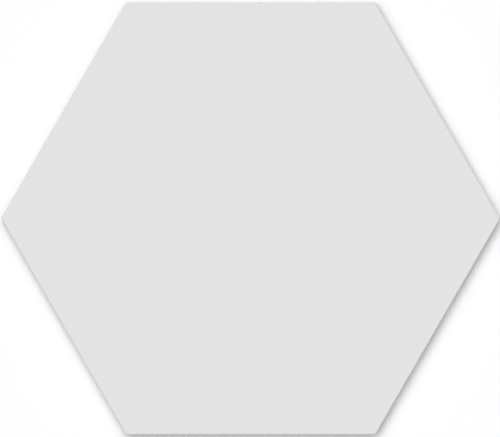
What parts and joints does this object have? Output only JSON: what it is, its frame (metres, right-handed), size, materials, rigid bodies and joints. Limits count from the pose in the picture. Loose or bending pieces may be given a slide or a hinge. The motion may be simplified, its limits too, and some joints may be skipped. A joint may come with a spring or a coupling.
{
  "type": "hexagon floor tile",
  "caption": "Flat regular hexagon floor tile in plain matt light grey, with softly pressed edges and a honeycomb keyed back.",
  "frame": {"origin": "centre of the back, on the plane of the rib tops and border that the tile rests on", "axes": "+Z out of the face, +X through two opposite corners, +Y square to two opposite straight sides"},
  "size_m": [0.2304, 0.2, 0.009],
  "materials": {
    "matt_glazed_porcelain": "matte"
  },
  "bodies": {
    "root": {"hexagon_tile": "matt_glazed_porcelain"}
  },
  "joints": []
}
